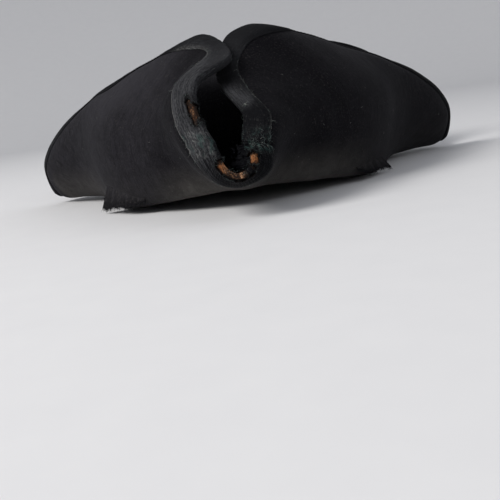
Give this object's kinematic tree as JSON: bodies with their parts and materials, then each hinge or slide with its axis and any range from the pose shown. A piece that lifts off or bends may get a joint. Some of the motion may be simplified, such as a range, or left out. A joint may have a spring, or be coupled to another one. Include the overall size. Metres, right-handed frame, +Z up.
{
  "type": "tricorn hat",
  "caption": "Old black tricorn hat of plush felt, with its front point pinched to a narrow spout and a worn grey ribbon binding that shows the tan core.",
  "frame": {"origin": "the middle of the hat's box, on the plane that its side and back rolls rest on", "axes": "+Z up through the crown, +X to the right as seen from the front point, +Y towards the back"},
  "size_m": [0.3232, 0.3002, 0.1046],
  "materials": {
    "plush": "napped silk plush, worn",
    "ribbon": "ribbed grosgrain, worn grey",
    "bare_core": "rough bare body"
  },
  "bodies": {
    "root": {"crown": "plush", "brim": "plush", "edge_binding": "ribbon", "bare_core_left": "bare_core", "bare_core_bottom": "bare_core", "bare_core_right": "bare_core", "torn_hem_left": "plush", "torn_hem_right": "plush"}
  },
  "joints": []
}
